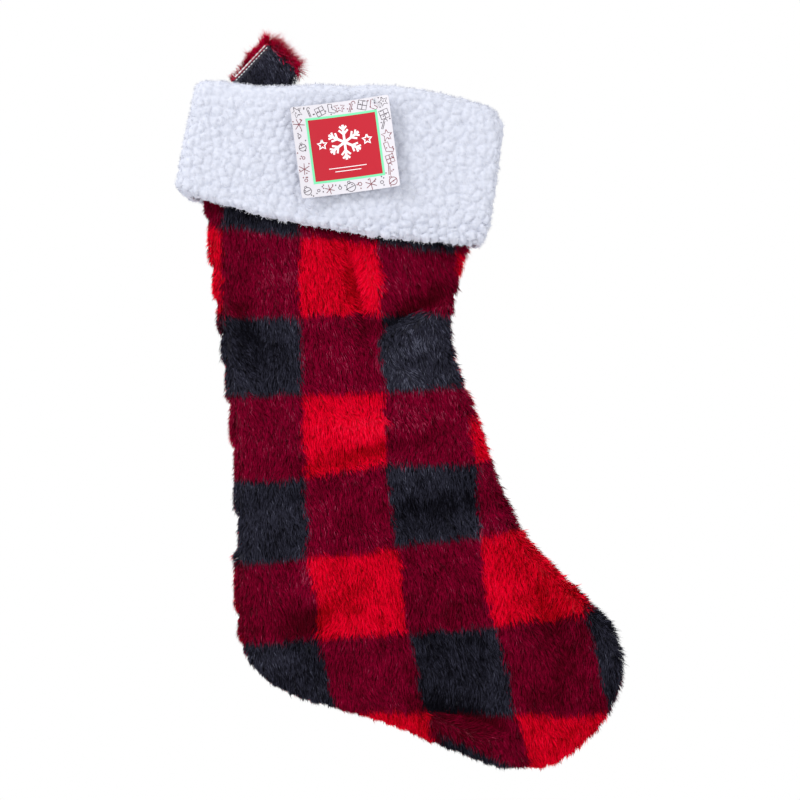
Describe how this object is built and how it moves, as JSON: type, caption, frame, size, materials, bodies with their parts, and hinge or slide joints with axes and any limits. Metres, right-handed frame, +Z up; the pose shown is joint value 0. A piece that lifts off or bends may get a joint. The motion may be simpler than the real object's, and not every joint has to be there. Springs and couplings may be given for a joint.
{
  "type": "hanging stocking",
  "caption": "Plush hanging stocking: checked fur leg and foot, turned-down sherpa cuff, side hanging loop, and a square card pinned to the cuff.",
  "frame": {"origin": "centre of the hanging loop's eye, inside the bend", "axes": "+Z up as it hangs, +X towards the toe's side, the front with the card faces -Y"},
  "size_m": [0.3128, 0.0623, 0.51],
  "materials": {
    "plaid_fur": "long pile faux fur in a red, crimson and charcoal buffalo check",
    "knit_backing": "knitted backing, overlocked",
    "sherpa": "white bobbled sherpa fleece",
    "white_thread": "spun sewing thread",
    "printed_card": "coated printed card",
    "clear_nylon": "clear nylon"
  },
  "bodies": {
    "stocking": {"front_panel": "plaid_fur", "back_panel": "plaid_fur", "body_seam": "knit_backing", "cuff_front": "sherpa", "cuff_back": "sherpa", "cuff_seam_left": "white_thread", "cuff_seam_right": "white_thread", "cuff_hem_seam": "white_thread", "mouth_seam": "white_thread"},
    "loop_anchor": {"loop_bartack": "white_thread"},
    "loop": {"loop_strip": "plaid_fur", "loop_edge_stitching": "white_thread"},
    "pin": {"tag_pin": "clear_nylon"},
    "tag": {"tag_card": "printed_card"}
  },
  "joints": [
    {"name": "loop_fold", "type": "hinge", "parent": "stocking", "child": "loop_anchor", "pos_m": [-0.018, 0, -0.018], "axis": [0.9949, 0, -0.1004], "range_deg": [-25, 25]},
    {"name": "loop_tilt", "type": "hinge", "parent": "loop_anchor", "child": "loop", "pos_m": [-0.018, 0, -0.018], "axis": [0, 1, 0], "range_deg": [-45, 5]},
    {"name": "tag_swing", "type": "hinge", "parent": "stocking", "child": "pin", "pos_m": [0.06707, -0.03225, -0.03141], "axis": [0, 1, 0], "range_deg": [-75, 30]},
    {"name": "tag_lift", "type": "hinge", "parent": "pin", "child": "tag", "pos_m": [0.06707, -0.03225, -0.03141], "axis": [-0.9914, 0, -0.1305], "range_deg": [0, 60]}
  ]
}
